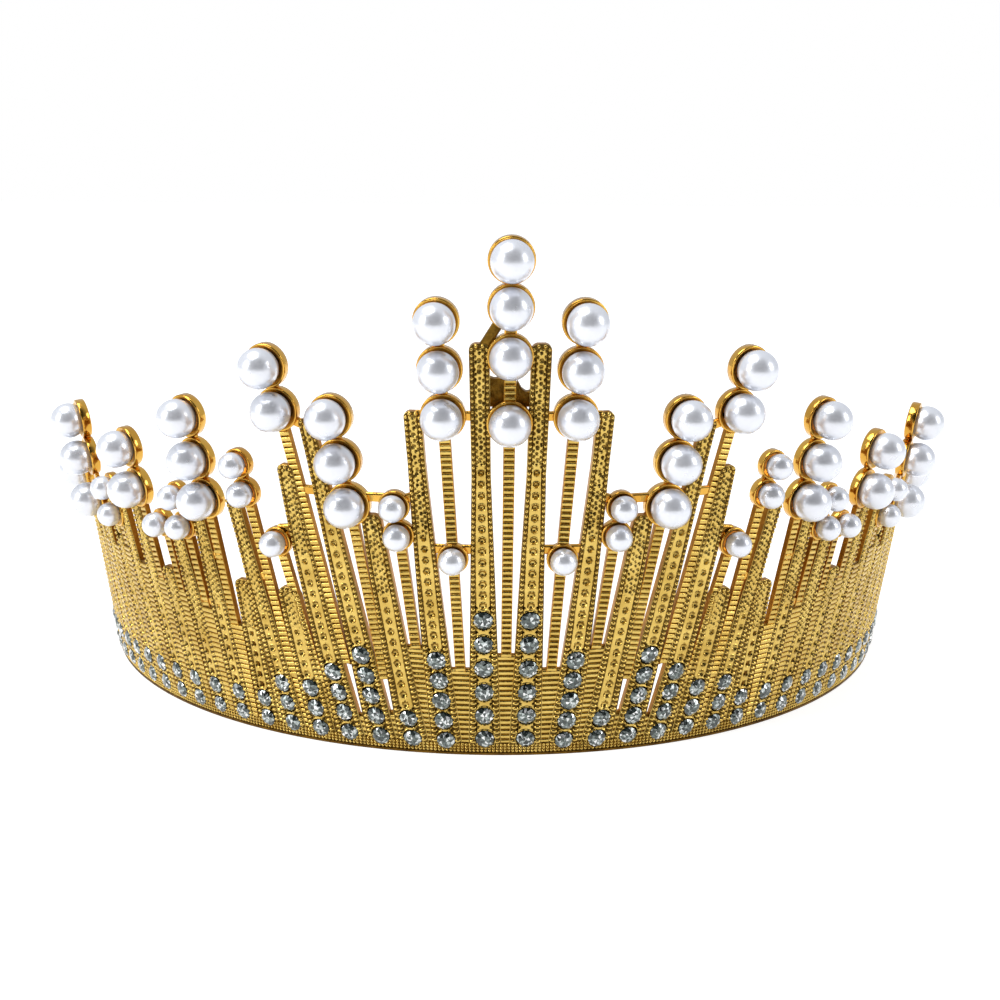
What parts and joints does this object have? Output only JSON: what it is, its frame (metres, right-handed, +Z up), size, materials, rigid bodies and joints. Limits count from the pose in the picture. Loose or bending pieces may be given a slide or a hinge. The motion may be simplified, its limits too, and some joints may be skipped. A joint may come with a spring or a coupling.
{
  "type": "crown",
  "caption": "Rigid open-backed hair crown: a flared fan of upright cast bars with pearls in cups on thin stalks, worn on the head.",
  "frame": {"origin": "on the flat-ground bottom edge, under the middle of the crown's outer box", "axes": "+X across the crown, to the viewer's right from the front; -Y out of the front, so +Y is the open back; +Z up"},
  "size_m": [0.1626, 0.0928, 0.0804],
  "materials": {
    "gold_plate": "bright gold plating on a cast zinc alloy, textured",
    "dark_gold_plate": "gold plating, dull from soldering",
    "pearl": "imitation pearl lacquer, glossy",
    "rhinestone": "clear cut glass with a silver foil back"
  },
  "bodies": {
    "root": {"centre_brace": "dark_gold_plate", "crown_frame": "gold_plate", "pearl_centre_1": "pearl", "pearl_centre_2": "pearl", "pearl_centre_3": "pearl", "pearl_centre_4": "pearl", "pearl_left_10_1": "pearl", "pearl_left_10_2": "pearl", "pearl_left_12_1": "pearl", "pearl_left_12_2": "pearl", "pearl_left_12_3": "pearl", "pearl_left_13_1": "pearl", "pearl_left_1_1": "pearl", "pearl_left_1_2": "pearl", "pearl_left_1_3": "pearl", "pearl_left_1_4": "pearl", "pearl_left_2_1": "pearl", "pearl_left_2_2": "pearl", "pearl_left_3_1": "pearl", "pearl_left_3_2": "pearl", "pearl_left_3_3": "pearl", "pearl_left_4_1": "pearl", "pearl_left_4_2": "pearl", "pearl_left_5_1": "pearl", "pearl_left_6_1": "pearl", "pearl_left_6_2": "pearl", "pearl_left_7_1": "pearl", "pearl_left_7_2": "pearl", "pearl_left_7_3": "pearl", "pearl_left_8_1": "pearl", "pearl_left_8_2": "pearl", "pearl_left_9_1": "pearl", "pearl_pair_left": "pearl", "pearl_pair_right": "pearl", "pearl_right_10_1": "pearl", "pearl_right_10_2": "pearl", "pearl_right_12_1": "pearl", "pearl_right_12_2": "pearl", "pearl_right_12_3": "pearl", "pearl_right_13_1": "pearl", "pearl_right_1_1": "pearl", "pearl_right_1_2": "pearl", "pearl_right_1_3": "pearl", "pearl_right_1_4": "pearl", "pearl_right_2_1": "pearl", "pearl_right_2_2": "pearl", "pearl_right_3_1": "pearl", "pearl_right_3_2": "pearl", "pearl_right_3_3": "pearl", "pearl_right_4_1": "pearl", "pearl_right_4_2": "pearl", "pearl_right_5_1": "pearl", "pearl_right_6_1": "pearl", "pearl_right_6_2": "pearl", "pearl_right_7_1": "pearl", "pearl_right_7_2": "pearl", "pearl_right_7_3": "pearl", "pearl_right_8_1": "pearl", "pearl_right_8_2": "pearl", "pearl_right_9_1": "pearl"}
  },
  "joints": []
}
